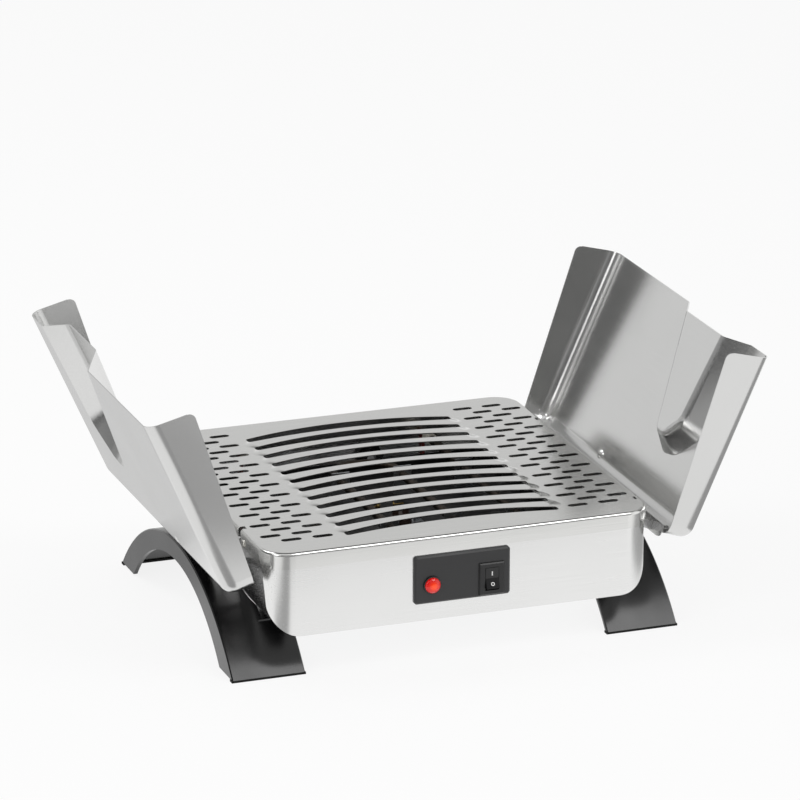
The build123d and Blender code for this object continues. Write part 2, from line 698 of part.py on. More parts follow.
def make_heater():
    xs = heater_run_xs()
    points = [
        (xs[0], HEATER_END_Y, HEATER_Z), (xs[0], HEATER_FRONT_Y, HEATER_Z),
        (xs[1], HEATER_FRONT_Y, HEATER_Z), (xs[1], HEATER_REAR_Y, HEATER_Z),
        (xs[2], HEATER_REAR_Y, HEATER_Z), (xs[2], HEATER_FRONT_Y, HEATER_Z),
        (xs[3], HEATER_FRONT_Y, HEATER_Z), (xs[3], HEATER_END_Y, HEATER_Z),
    ]
    path = FilletPolyline(*points, radius=HEATER_BEND)
    start = Plane(origin=points[0], z_dir=(0, -1, 0))
    return sweep(start * Circle(HEATER_RADIUS), path=path)


def make_heater_brackets():
    brackets = []
    floor = REFLECTOR_Z + SHEET
    for y in (-58.0, 52.0):
        for x in heater_run_xs():
            plate = block(x - 7, x + 7, y - 1, y + 1, floor, HEATER_Z + 7)
            foot = block(x - 7, x + 7, y + 1, y + 9, floor, floor + 1.5)
            brackets.append(plate + foot - rod_y(x, y - 2, y + 2, HEATER_Z, HEATER_RADIUS))
    return gather(brackets)


def make_heater_bushes():
    bushes = []
    for x in (-HEATER_X, HEATER_X):
        sleeve = rod_y(x, HEATER_END_Y, HEATER_END_Y + 9, HEATER_Z, 4.6)
        bushes.append(sleeve - rod_y(x, HEATER_END_Y - 1, HEATER_END_Y + 10, HEATER_Z, 1.3))
    return gather(bushes)


def make_heater_pins():
    return gather([rod_y(x, HEATER_END_Y, HEATER_END_Y + 15, HEATER_Z, 1.3) for x in (-HEATER_X, HEATER_X)])


def make_thermostat():
    z = REFLECTOR_Z + SHEET
    disc = rod_z(0, -12, z, z + 5, 8.5) + rod_z(0, -12, z + 5, z + 7.5, 6)
    blades = [block(s * 4 - 2.4, s * 4 + 2.4, -12.4, -11.6, z + 7.5, z + 13) for s in (-1, 1)]
    return disc + blades


def make_thermostat_clamp():
    z = REFLECTOR_Z + SHEET
    strap = block(-17, 17, -17, -7, z, z + 1.2) - rod_z(0, -12, z - 1, z + 3, 8.6)
    ears = [block(s * 12 - 4, s * 12 + 4, -17, -7, z, z + 1.2) for s in (-1, 1)]
    clamp = strap + ears - rod_z(0, -12, z - 1, z + 3, 8.6)
    screws = [rod_z(s * 13, -12, z + 1.2, z + 3.2, 2.6) for s in (-1, 1)]
    return gather(list(clamp.solids()) + screws)


def make_thermal_fuse():
    z = REFLECTOR_Z + SHEET + 3
    barrel = rod_x(-7, 7, 22, z, 2.4)
    return barrel + rod_x(-15, 15, 22, z, 0.6)


def make_fuse_clip():
    z = REFLECTOR_Z + SHEET
    clip = block(-5, 5, 18.4, 25.6, z, z + 6.4) - rod_x(-6, 6, 22, z + 3, 2.4)
    return clip


# ---- mains entry ------------------------------------------------------------------------------

def pole_xs():
    return [TERMINAL_X + TERMINAL_PITCH * step for step in (-1, 0, 1)]


def make_terminal_block():
    z = FLOOR_TOP
    y0, y1 = TERMINAL_Y - TERMINAL_HALF_Y, TERMINAL_Y + TERMINAL_HALF_Y
    body = block(TERMINAL_X - 15, TERMINAL_X + 15, y0, y1, z, z + 13)
    for x in pole_xs():
        body -= rod_y(x, y0 - 1, y1 + 1, WIRE_Z, 1.9)
        for row in (-TERMINAL_ROW, TERMINAL_ROW):
            body -= rod_z(x, TERMINAL_Y + row, z + 6, z + 14, 2.0)
    for x in (TERMINAL_X - TERMINAL_PITCH / 2, TERMINAL_X + TERMINAL_PITCH / 2):
        body -= block(x - 0.6, x + 0.6, y0 - 1, y1 + 1, z + 9, z + 14)
    return body


def make_terminal_screws():
    z = FLOOR_TOP
    screws = []
    for x in pole_xs():
        for row in (-TERMINAL_ROW, TERMINAL_ROW):
            screws.append(rod_z(x, TERMINAL_Y + row, z + 7.2, z + 11, 1.9))
    return gather(screws)


def make_earth_stud():
    stud = rod_z(EARTH_X, EARTH_Y, FLOOR_TOP, FLOOR_TOP + 13, 2.0)
    return stud + Pos(EARTH_X, EARTH_Y, FLOOR_TOP) * extrude(RegularPolygon(4.0, 6), amount=3.2)


def make_earth_nut():
    ring = RegularPolygon(4.0, 6) - Circle(2.0)
    return Pos(EARTH_X, EARTH_Y, FLOOR_TOP + 5) * extrude(ring, amount=3.2)


def gland_ring(radius, y0, y1):
    return rod_y(GLAND_X, y0, y1, GLAND_Z, radius)


def make_cable_gland():
    face = PAN_HALF_Y
    flange = Pos(GLAND_X, face + GLAND_FLANGE, GLAND_Z) * Rot(90, 0, 0) * extrude(
        RegularPolygon(11.5, 6), amount=GLAND_FLANGE
    )
    nose = gland_ring(9.4, face + GLAND_FLANGE, GLAND_END)
    nose = fillet(nose.edges().filter_by(GeomType.CIRCLE).sort_by(Axis.Y)[-1], 2.0)
    thread = gland_ring(GLAND_THREAD, face - 10, face)
    return flange + nose + thread - gland_ring(GLAND_BORE, face - 12, GLAND_END + 2)


def make_gland_nut():
    face = PAN_HALF_Y - PAN_WALL
    ring = RegularPolygon(11.5, 6) - Circle(GLAND_THREAD)
    return Pos(GLAND_X, face, GLAND_Z) * Rot(90, 0, 0) * extrude(ring, amount=4.5)


def wire(points, radius, bend):
    path = FilletPolyline(*points, radius=bend)
    first, second = Vector(*points[0]), Vector(*points[1])
    start = Plane(origin=points[0], z_dir=(second - first))
    return sweep(start * Circle(radius), path=path)


def make_switch_wires():
    """From the switch blades down to the floor, then back under the reflector."""
    drop_y = BLADE_END + 4.8
    wires = []
    for side in (-1, 1):
        x = SWITCH_X + 1.6 * side
        z = SWITCH_Z + 6 * side
        lane = 50.0 + 5 * side
        pole = pole_xs()[1 if side < 0 else 2]
        points = [
            (x, BLADE_END, z), (x, drop_y, z), (x, drop_y, WIRE_Z), (x, -100, WIRE_Z),
            (lane, -64, WIRE_Z), (lane, 66, WIRE_Z), (pole, 92, WIRE_Z),
            (pole, TERMINAL_Y - TERMINAL_HALF_Y, WIRE_Z),
        ]
        wires.append(wire(points, WIRE_RADIUS, 4.0))
    return gather(wires)


def make_heater_wires():
    """From the ends of the heater pins down the rear wall to the terminal block."""
    pin_end = HEATER_END_Y + 15
    drop_y = pin_end + 3.8
    turn_y = 133.0
    wires = []
    for side in (-1, 1):
        x = HEATER_X * side
        pole = TERMINAL_X + TERMINAL_PITCH * side
        points = [
            (x, pin_end, HEATER_Z), (x, drop_y, HEATER_Z), (x, drop_y, WIRE_Z + 8),
            (x - 14 * side, turn_y, WIRE_Z), (pole, turn_y, WIRE_Z),
            (pole, TERMINAL_Y + TERMINAL_HALF_Y, WIRE_Z),
        ]
        wires.append(wire(points, WIRE_RADIUS, 3.4))
    return gather(wires)


def make_lamp_wires():
    """One lead to the first pole of the block, and a short link to the switch."""
    x = LAMP_X - 2
    drop_y = BLADE_END + 4.8
    lane = -36.0
    pole = pole_xs()[0]
    lead = wire(
        [
            (x, BLADE_END, LAMP_Z), (x, drop_y, LAMP_Z), (x, drop_y, WIRE_Z), (x, -100, WIRE_Z),
            (lane, -64, WIRE_Z), (lane, 46, WIRE_Z), (pole, 93, WIRE_Z),
            (pole, TERMINAL_Y - TERMINAL_HALF_Y, WIRE_Z),
        ],
        LAMP_WIRE_RADIUS, 4.0,
    )
    link_y = BLADE_END - 3
    sag_z = 56.0
    x0, x1 = LAMP_X + 2.4 + 0.4, SWITCH_X - 2.4 - 0.4
    link = wire(
        [(x0, link_y, LAMP_Z), (x0 + 12, link_y, sag_z), (x1 - 12, link_y, sag_z), (x1, link_y, SWITCH_Z)],
        LAMP_WIRE_RADIUS, 9.0,
    )
    return gather([lead, link])


# ---- all nodes -----------------------------------------------------------------------------------
def build():
    foot_right = make_foot_right()
    wing_right = make_wing_right()
    arms_right = make_arms_right()
    rivets_right = make_arm_rivets_right()
    return {
        "housing_pan": make_pan(),
        "lid": make_lid(),
        "bottom_cover": make_bottom_cover(),
        "bottom_cover_screws": make_cover_screws(),
        "foot_left": mirrored_x(foot_right),
        "foot_right": foot_right,
        "foot_pads": make_foot_pads(),
        "foot_screws": make_foot_screws(),
        "reflector_tray": make_reflector(),
        "tray_posts": make_posts(),
        "tray_screws": make_tray_screws(),
        "heater_element": make_heater(),
        "heater_brackets": make_heater_brackets(),
        "heater_bushes": make_heater_bushes(),
        "heater_pins": make_heater_pins(),
        "thermostat": make_thermostat(),
        "thermostat_clamp": make_thermostat_clamp(),
        "thermal_fuse": make_thermal_fuse(),
        "fuse_clip": make_fuse_clip(),
        "terminal_block": make_terminal_block(),
        "terminal_screws": make_terminal_screws(),
        "earth_stud": make_earth_stud(),
        "earth_nut": make_earth_nut(),
        "switch_wires": make_switch_wires(),
        "heater_wires": make_heater_wires(),
        "lamp_wires": make_lamp_wires(),
        "cable_gland": make_cable_gland(),
        "gland_nut": make_gland_nut(),
        "control_panel": make_control_panel(),
        "lamp_body": make_lamp_body(),
        "lamp_lens": make_lamp_lens(),
        "lamp_nut": make_lamp_nut(),
        "switch_body": make_switch_body(),
        "switch_rocker": make_rocker(),
        "switch_terminals": make_switch_terminals(),
        "hinge_brackets": make_hinge_brackets(),
        "hinge_pins": make_hinge_pins(),
        "hinge_rivets": make_rim_rivets(),
        "wing_right": wing_right,
        "wing_left": turned(wing_right),
        "wing_right_arms": arms_right,
        "wing_left_arms": turned(arms_right),
        "wing_right_rivets": rivets_right,
        "wing_left_rivets": turned(rivets_right),
    }


os.makedirs("parts", exist_ok=True)
for name, shape in build().items():
    export_step(shape, f"parts/{name}.step")
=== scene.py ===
# %% [markdown]
# # An electric plate warmer with two folding wings
#
# A low stainless tray stands on two black arched feet. Warm air rises through its
# pierced lid into a stack of plates, and two stainless wings fold up over the plates
# and meet in the middle. Here the wings lie open, as they do while plates go in.
#
# The solid parts come from a CAD model, so this lesson is about finish: satin steel,
# moulded plastic, a lit pilot lamp, and the few small pieces that a CAD model leaves out.

import bmesh
import bpy
from math import atan2, cos, pi, radians, sin
from mathutils import Matrix, Vector


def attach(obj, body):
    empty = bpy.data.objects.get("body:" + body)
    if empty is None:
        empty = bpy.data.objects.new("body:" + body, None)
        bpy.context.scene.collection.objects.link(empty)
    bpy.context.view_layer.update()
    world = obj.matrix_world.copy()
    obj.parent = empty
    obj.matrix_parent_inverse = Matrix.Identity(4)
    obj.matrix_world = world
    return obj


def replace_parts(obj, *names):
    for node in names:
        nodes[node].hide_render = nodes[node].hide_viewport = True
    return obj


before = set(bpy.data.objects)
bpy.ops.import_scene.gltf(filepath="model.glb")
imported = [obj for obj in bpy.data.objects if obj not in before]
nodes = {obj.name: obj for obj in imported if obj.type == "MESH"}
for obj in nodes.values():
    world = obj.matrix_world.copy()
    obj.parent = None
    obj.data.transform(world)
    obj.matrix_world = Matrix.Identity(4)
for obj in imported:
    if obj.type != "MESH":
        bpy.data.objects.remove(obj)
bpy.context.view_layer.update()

# %% [markdown]
# ## The camera
#
# Product pictures are taken with a long lens from far away, so that straight edges stay
# nearly parallel. The camera is placed by what a photographer would set: the point it
# looks at, how far round and how high it stands, its distance and its focal length.

# %% Place the camera
MM = 0.001
TARGET = Vector((62.8, 160.5, 98.0)) * MM
DISTANCE = 3.9985
ROUND = radians(-20.134)
ABOVE = radians(18.147)
ROLL = radians(0.068)
LENS = 229.75
SENSOR = 36.0
FAR_CLIP = 50.0

away = Vector((sin(ROUND) * cos(ABOVE), -cos(ROUND) * cos(ABOVE), sin(ABOVE)))
level = away.cross(Vector((0, 0, 1))).normalized() * -1
upright = away.cross(level)
right_way = level * cos(ROLL) + upright * sin(ROLL)
up_way = upright * cos(ROLL) - level * sin(ROLL)

camera = bpy.data.objects.new("camera", bpy.data.cameras.new("camera"))
bpy.context.scene.collection.objects.link(camera)
turn = Matrix((right_way, up_way, away)).transposed().to_4x4()
camera.matrix_world = Matrix.Translation(TARGET + away * DISTANCE) @ turn
camera.data.lens = LENS
camera.data.sensor_width = SENSOR
camera.data.clip_end = FAR_CLIP
bpy.context.scene.camera = camera
print("camera at", [round(v, 3) for v in camera.location])

# %% [markdown]
# ## Colours and nodes
#
# Colours are picked as sRGB hex values, as on a screen, and the renderer works with
# linear light, so one function turns the first into the second. A second small function
# adds a node to a material: its settings, then its values and its links.

# %% Helpers for materials
def colour(hex_text):
    """An sRGB hex colour as linear red, green, blue and full alpha."""
    parts = [int(hex_text[i:i + 2], 16) / 255 for i in (1, 3, 5)]
    linear = [p / 12.92 if p <= 0.04045 else ((p + 0.055) / 1.055) ** 2.4 for p in parts]
    return (*linear, 1.0)


def add(tree, kind, values, **settings):
    """A new node with its settings, and its inputs set to a value or linked to a socket."""
    node = tree.nodes.new(kind)
    for name, value in settings.items():
        setattr(node, name, value)
    for socket, value in values.items():
        if isinstance(value, bpy.types.NodeSocket):
            tree.links.new(value, node.inputs[socket])
        else:
            node.inputs[socket].default_value = value
    return node


def new_material(name):
    """An empty material and its node tree."""
    material = bpy.data.materials.new(name)
    material.use_nodes = True
    tree = material.node_tree
    tree.nodes.clear()
    return material, tree


def close_material(tree, shader):
    """The output node, which every material ends in."""
    add(tree, "ShaderNodeOutputMaterial", {"Surface": shader.outputs[0]})


# %% [markdown]
# ## Sums on numbers
#
# Patterns, cards and the light of the room are all sums on single numbers, such as a
# height or a direction. Three short functions write them: the axes of a coordinate, one
# sum, and a change from one value to another.

# %% Helpers for sums
def axes_of(tree, coordinate):
    """The X, Y and Z of the piece's own place, or of a direction in the room."""
    place = add(tree, "ShaderNodeTexCoord", {})
    return add(tree, "ShaderNodeSeparateXYZ", {0: place.outputs[coordinate]}).outputs


def work_out(tree, operation, *values):
    """One sum on numbers or sockets, and the socket that holds its result."""
    return add(tree, "ShaderNodeMath", dict(enumerate(values)), operation=operation).outputs[0]


def ramp(tree, value, start, end, low, high, kind="SMOOTHSTEP"):
    """A change from low to high while the value goes from start to end."""
    span = {"Value": value, "From Min": start, "From Max": end, "To Min": low, "To Max": high}
    return add(tree, "ShaderNodeMapRange", span, interpolation_type=kind).outputs[0]


# %% [markdown]
# ## The table
#
# Polished and satin steel have hardly any colour of their own: they show the room. So
# the room is part of the material. It starts with a white paper table.
#
# Photographers lay grey and dark cards on the table, just outside the frame, for a dark
# line along a rounded corner or a grey face beside a white one. The floor does that
# here for mirrored rays alone. Each card is a few soft edges: the place in metres
# where it covers the table, and the place where it has faded out.

# %% White table with cards
PAPER = "#f4f4f4"
PAPER_GLOW = 0.86
FLOOR_HALF = 6.0
CARD_DARK = 0.40
CARD_GREY = 0.72
DARK_CARDS = {
    "front": [("Y", -0.50, -0.36), ("X", -0.02, 0.06)],
    "strip": [("X", -0.25, -0.30), ("X", -0.17, -0.13), ("Y", -0.20, -0.16)],
    "side": [("Y", -0.28, -0.34), ("Y", -0.02, 0.08), ("X", 0.30, 0.24)],
}
GREY_CARDS = {
    "back_left": [("Y", 0.12, 0.0), ("X", -0.08, 0.04)],
    "front_edge": [("Y", -0.415, -0.375), ("X", 0.24, 0.28)],
}


def cards(tree, axes, table, shade):
    """How bright the table mirrors with these cards on it: 1 on the bare paper."""
    most = 0.0
    for edges in table.values():
        covered = 1.0
        for axis, there, gone in edges:
            start, end = min(there, gone), max(there, gone)
            low, high = (1.0, 0.0) if there < gone else (0.0, 1.0)
            edge = ramp(tree, axes[axis], start, end, low, high)
            covered = work_out(tree, "MULTIPLY", covered, edge)
        most = work_out(tree, "MAXIMUM", most, covered)
    return ramp(tree, most, 0.0, 1.0, 1.0, shade)


def by_ray(tree, ray, otherwise, seen):
    """One shader for this kind of ray, and another for all the others."""
    path = add(tree, "ShaderNodeLightPath", {})
    values = {0: path.outputs[ray], 1: otherwise.outputs[0], 2: seen.outputs[0]}
    return add(tree, "ShaderNodeMixShader", values)


def make_floor():
    mesh = bpy.data.meshes.new("floor")
    bm = bmesh.new()
    bmesh.ops.create_grid(bm, x_segments=1, y_segments=1, size=FLOOR_HALF)
    bm.to_mesh(mesh)
    bm.free()
    floor = bpy.data.objects.new("floor", mesh)
    bpy.context.scene.collection.objects.link(floor)
    material, tree = new_material("white_sweep")
    axes = axes_of(tree, "Object")
    dark = cards(tree, axes, DARK_CARDS, CARD_DARK)
    grey = cards(tree, axes, GREY_CARDS, CARD_GREY)
    shade = work_out(tree, "MINIMUM", dark, grey)
    white = colour("#ffffff")
    paper = add(tree, "ShaderNodeBsdfDiffuse", {"Color": colour(PAPER)})
    glow = add(tree, "ShaderNodeEmission", {"Color": white, "Strength": 1.0})
    seen = add(tree, "ShaderNodeMixShader", {0: PAPER_GLOW, 1: paper.outputs[0], 2: glow.outputs[0]})
    mirrored = add(tree, "ShaderNodeEmission", {"Color": white, "Strength": shade})
    for_gloss = by_ray(tree, "Is Glossy Ray", paper, mirrored)
    close_material(tree, by_ray(tree, "Is Camera Ray", for_gloss, seen))
    mesh.materials.append(material)
    print("table with", len(DARK_CARDS), "dark and", len(GREY_CARDS), "grey cards")


make_floor()

# %% [markdown]
# ## The room around the table
#
# What the steel mirrors above the table depends only on the direction that it looks in.
# The room is light to the back and to the right, darker to the left, and darkest to the
# front, where the camera stands. Higher up it is evenly dim, with one light patch
# overhead on the camera's side, which draws the bright line along the lid's front edge.
# Every other ray sees an even white room, so plastics are lit plainly.
#
# Each line of the table is a change along one axis of the direction: where it starts,
# where it ends, and the brightness at both.

# %% Room
ROOM = {
    "front": ("Y", -0.35, 0.15, 0.20, 1.0),
    "over_camera": ("Z", 0.12, 0.24, 0.0, 0.60),
    "left": ("X", -0.80, -0.30, 0.45, 1.0),
    "raised": ("Z", 0.08, 0.26, 1.0, 0.66),
    "zenith": ("Z", 0.50, 0.85, 1.0, 0.15),
    "right": ("X", 0.45, 0.70, 0.0, 1.0),
    "patch": ("Z", 0.55, 0.85, 0.0, 0.85),
    "patch_back": ("Y", -0.20, 0.05, 1.0, 0.0),
}
EVEN_LIGHT = 0.55


def make_room():
    world = bpy.data.worlds.new("studio")
    world.use_nodes = True
    tree = world.node_tree
    tree.nodes.clear()
    axes = axes_of(tree, "Generated")
    part = {name: ramp(tree, axes[axis], *change) for name, (axis, *change) in ROOM.items()}
    level = work_out(tree, "MAXIMUM", part["front"], part["over_camera"])
    for name in ("left", "raised", "zenith"):
        level = work_out(tree, "MULTIPLY", level, part[name])
    patch = work_out(tree, "MULTIPLY", part["patch"], part["patch_back"])
    level = work_out(tree, "MAXIMUM", level, part["right"])
    level = work_out(tree, "MAXIMUM", level, patch)
    even, mirrored, plain_white = [
        add(tree, "ShaderNodeBackground", {"Color": colour("#ffffff"), "Strength": strength})
        for strength in (EVEN_LIGHT, level, 1.0)]
    for_gloss = by_ray(tree, "Is Glossy Ray", even, mirrored)
    for_camera = by_ray(tree, "Is Camera Ray", for_gloss, plain_white)
    add(tree, "ShaderNodeOutputWorld", {"Surface": for_camera.outputs[0]})
    bpy.context.scene.world = world


make_room()

# %% [markdown]
# ## Three soft lamps
#
# Large soft boxes give soft shadows and broad highlights. One hangs high behind the
# plate warmer, one in front to the right, which puts the sheen on the lower half of each
# foot, and a weaker one stands to the left.

# %% Lamps
AIM = Vector((0, 0, 80)) * MM
LAMPS = {
    "overhead_softbox": ((-1.2, 0.9, 2.0), (1.2, 1.2), 14),
    "front_softbox": ((0.9, -1.5, 2.2), (1.3, 1.0), 14),
    "left_softbox": ((-2.1, -1.2, 1.5), (0.9, 1.3), 9),
}

for name, (place, size, watts) in LAMPS.items():
    light = bpy.data.lights.new(name, "AREA")
    light.shape = "RECTANGLE"
    light.size, light.size_y = size
    light.energy = watts
    lamp = bpy.data.objects.new(name, light)
    lamp.location = place
    lamp.rotation_euler = (AIM - Vector(place)).to_track_quat("-Z", "Y").to_euler()
    bpy.context.scene.collection.objects.link(lamp)
    print(name, watts, "watts")
bpy.context.scene.view_settings.view_transform = "Standard"

# %% [markdown]
# ## Satin stainless steel
#
# The lid, tray and wings are cold-rolled stainless sheet, ground with a fine belt. The
# belt leaves long parallel scratches about a tenth of a millimetre wide. They blur
# the reflection across the grain and hardly at all along it. At this distance single
# scratches don't show, so they are drawn about a millimetre wide: as stretched
# noise that changes the roughness a little, and as a very shallow bump.

# %% Patterns for metal and plastic
GRAIN_WIDTH = 1.1 * MM
GRAIN_LENGTH = 70 * MM


def grain(tree, along):
    """Stretched noise: belt scratches that run along one axis."""
    place = add(tree, "ShaderNodeTexCoord", {})
    scale = [1 / GRAIN_WIDTH] * 3
    scale["XYZ".index(along)] = 1 / GRAIN_LENGTH
    stretched = add(tree, "ShaderNodeMapping", {"Vector": place.outputs["Object"], "Scale": scale})
    noise = {"Vector": stretched.outputs[0], "Scale": 1.0, "Detail": 3.0}
    return add(tree, "ShaderNodeTexNoise", noise).outputs[0]


def patches(tree, size, detail=2.0):
    """Soft cloudy noise, for the uneven wear and finger haze of a used surface."""
    place = add(tree, "ShaderNodeTexCoord", {})
    noise = {"Vector": place.outputs["Object"], "Scale": 1 / size, "Detail": detail}
    return add(tree, "ShaderNodeTexNoise", noise).outputs[0]


def blend(tree, factor, tint):
    """A colour that goes from the second to the first of two hex colours."""
    light, dark = [colour(text) for text in tint]
    return add(tree, "ShaderNodeMix", {"Factor": factor, "A": dark, "B": light},
               data_type="RGBA").outputs["Result"]


# %% [markdown]
# The steel's base colour is near white, because steel returns most of the light, and its
# grey comes from the room. Its roughness is about 0.2, a satin that still mirrors
# shapes. The haze over 50 mm keeps a large sheet from looking computed.

# %% Satin steel as a function
HAZE_SIZE = 50 * MM
GRAIN_SPREAD = 0.025
HAZE_SPREAD = 0.012
GRAIN_DEPTH = 0.01 * MM


def satin_steel(name, tint, along, rough, formed_height=None):
    material, tree = new_material(name)
    lines = grain(tree, along)
    haze = patches(tree, HAZE_SIZE)
    brushed = ramp(tree, lines, 0.3, 0.7, rough - GRAIN_SPREAD, rough + GRAIN_SPREAD, "LINEAR")
    hazed = ramp(tree, haze, 0.35, 0.65, -HAZE_SPREAD, HAZE_SPREAD, "LINEAR")
    bump = add(tree, "ShaderNodeBump", {"Height": lines, "Distance": GRAIN_DEPTH, "Strength": 0.6})
    if formed_height:
        bump = add(tree, "ShaderNodeBump", {"Height": formed_height(tree), "Distance": 1.0,
                                            "Strength": 1.0, "Normal": bump.outputs[0]})
    steel = add(tree, "ShaderNodeBsdfPrincipled", {
        "Base Color": blend(tree, lines, tint), "Metallic": 1.0,
        "Roughness": work_out(tree, "ADD", brushed, hazed), "Normal": bump.outputs[0]})
    close_material(tree, steel)
    return material


# %% [markdown]
# ## The pressed bars between the crescents
#
# The lid's twelve curved openings are cut in a press that also lifts the bars between
# them by a millimetre or two, which makes the thin lid stiff. Each bar runs flat in
# the middle and dips to the lid at its two rounded ends. The dip is so shallow that it
# only shows in what it reflects, so it is drawn as height in the steel's own bump.
#
# A bowed line through each opening counts the bars, so the height starts behind the
# first opening and stops before the last one.

# %% Height of the pressed bars
BAR_PITCH = 20.4 * MM
BAR_FIRST_Y = -117.65 * MM
BAR_BOW = 11.55 * MM
BARS_END = 11 * BAR_PITCH
BAR_MIDDLE_X = 1.25 * MM
BAR_HALF = 83.0 * MM
BAR_SWELL = 6.0 * MM
BAR_FALL = 9.0 * MM
BAR_RISE = 1.5 * MM


def bar_height(tree):
    axes = axes_of(tree, "Object")
    across = work_out(tree, "SUBTRACT", axes["X"], BAR_MIDDLE_X)
    squared = work_out(tree, "MULTIPLY", across, across)
    bowed = work_out(tree, "MULTIPLY_ADD", squared, BAR_BOW / BAR_HALF ** 2, axes["Y"])
    step = work_out(tree, "SUBTRACT", bowed, BAR_FIRST_Y + BAR_BOW)
    wave = work_out(tree, "SINE", work_out(tree, "MULTIPLY", step, pi / BAR_PITCH))
    reach = work_out(tree, "MULTIPLY_ADD", work_out(tree, "ABSOLUTE", wave), BAR_SWELL, BAR_HALF)
    inside = work_out(tree, "SUBTRACT", reach, work_out(tree, "ABSOLUTE", across))
    raised = ramp(tree, inside, 0.0, BAR_FALL, 0.0, BAR_RISE)
    past_first = work_out(tree, "GREATER_THAN", step, 0.0)
    before_last = work_out(tree, "LESS_THAN", step, BARS_END)
    return work_out(tree, "MULTIPLY", raised, work_out(tree, "MULTIPLY", past_first, before_last))


lid_steel = satin_steel("satin_stainless_lid", ("#e9e9e7", "#dcdcda"), "X", 0.20, bar_height)
pan_steel = satin_steel("satin_stainless_tray", ("#efefee", "#e5e5e4"), "X", 0.25)
wing_steel = satin_steel("satin_stainless_wing", ("#dfdfde", "#d3d3d2"), "Y", 0.21)
arm_steel = satin_steel("plain_stainless_strap", ("#dadada", "#cecece"), "Z", 0.26)
print("steel grain drawn", GRAIN_WIDTH / MM, "mm wide, pressed bars", BAR_RISE / MM, "mm high")


# %% [markdown]
# ## Moulded plastics, rubber, ceramic and a tray painted black for shade
#
# The feet are injection-moulded black ABS with a satin face: nearly black, with a grey
# sheen where a face turns to a lamp. The control panel is the same plastic with a
# coarser, duller texture, and the switch is nylon. The strips under the feet are matt
# rubber. The tray under the heater is painted near black as painted shade, for the dark
# inside seen through the lid. Wires have silicone sleeves, and the heater's bushes are steatite.
#
# None of these is a metal, so one function serves them all. Its grain is noise about
# half a millimetre across, as a bump a few hundredths of a millimetre deep.

# %% Plastic as a function
CLOUD_SIZE = 30 * MM
PLASTIC_IOR = 1.53


def moulded_plastic(name, tint, rough, grain_size, depth, gloss=0.5):
    material, tree = new_material(name)
    pits = patches(tree, grain_size * MM, 3.0)
    haze = patches(tree, CLOUD_SIZE)
    bump = add(tree, "ShaderNodeBump", {"Height": pits, "Distance": depth * MM, "Strength": 0.6})
    plastic = add(tree, "ShaderNodeBsdfPrincipled", {
        "Base Color": blend(tree, haze, tint),
        "Roughness": ramp(tree, haze, 0.3, 0.7, rough - 0.03, rough + 0.04, "LINEAR"),
        "Normal": bump.outputs[0], "IOR": PLASTIC_IOR, "Specular IOR Level": gloss})
    close_material(tree, plastic)
    return material


foot_plastic = moulded_plastic("black_abs_feet", ("#0f0f10", "#0a0a0b"), 0.21, 0.6, 0.02)
panel_plastic = moulded_plastic("black_abs_panel", ("#2e2e2f", "#262627"), 0.40, 0.5, 0.03)
switch_plastic = moulded_plastic("black_nylon_switch", ("#151516", "#0f0f10"), 0.30, 0.4, 0.01)
pad_rubber = moulded_plastic("black_rubber_strip", ("#0e0e0e", "#090909"), 0.75, 0.5, 0.04, 0.3)
# The reflector tray is painted near black: painted shade for the dark inside seen through the lid's
# openings.
shade_black_tray = moulded_plastic("painted_shade_black_tray", ("#151515", "#0e0e0f"), 0.42, 1.0, 0.02)
wire_rubber = moulded_plastic("red_silicone_sleeve", ("#8c3124", "#7a2a1f"), 0.55, 0.8, 0.05)
block_plastic = moulded_plastic("cream_polyamide_block", ("#ddd8cb", "#cfc9ba"), 0.5, 0.8, 0.02)
ceramic = moulded_plastic("white_steatite_bush", ("#efece2", "#e2ddd0"), 0.6, 0.5, 0.03)
bakelite = moulded_plastic("brown_phenolic_case", ("#3b2921", "#2f201a"), 0.45, 0.7, 0.02)
mark_white = moulded_plastic("white_pad_print", ("#f2f2f0", "#e8e8e6"), 0.5, 0.6, 0.01)
print("plastic grain is a fine bump, deepest on the wires' sleeves")


# %% [markdown]
# ## Small metal parts
#
# Rivets and screws are nickel-plated and bright, brackets are dull zinc plate,
# terminals are brass, and the heater's sheath has turned dark with heat. They differ in
# colour, in roughness and in how cloudy they are, so one function serves them all.

# %% Plain metal as a function
FINE_SHARE = 1 / 9
SMOOTHEST = 0.05
WEAR_DEPTH = 0.02 * MM


def plain_metal(name, tint, rough, cloud, spread=0.06):
    material, tree = new_material(name)
    haze = patches(tree, cloud * MM)
    fine = patches(tree, cloud * MM * FINE_SHARE)
    bump = add(tree, "ShaderNodeBump", {"Height": fine, "Distance": WEAR_DEPTH, "Strength": 0.4})
    low, high = max(SMOOTHEST, rough - spread), rough + spread
    metal = add(tree, "ShaderNodeBsdfPrincipled", {
        "Base Color": blend(tree, haze, tint), "Metallic": 1.0,
        "Roughness": ramp(tree, fine, 0.3, 0.7, low, high, "LINEAR"), "Normal": bump.outputs[0]})
    close_material(tree, metal)
    return material


nickel = plain_metal("bright_nickel_plate", ("#e4e2dc", "#d6d4ce"), 0.16, 6)
zinc = plain_metal("dull_zinc_plate", ("#c3c6c9", "#a9acaf"), 0.38, 12)
brass = plain_metal("dulled_brass", ("#8f7a4c", "#75633d"), 0.42, 6)
heat_oxide = plain_metal("heat_darkened_sheath", ("#5a5149", "#3a342f"), 0.46, 10, 0.1)
print("plated and worn metals:", nickel.name, zinc.name, brass.name, heat_oxide.name)

# %% [markdown]
# ## The pilot lamp's red
#
# The lens is clear red acrylic over a small lit bulb, so it glows most where the
# bulb is behind it. The glow fades from its middle to its rim, by the distance from the
# lamp's axis.

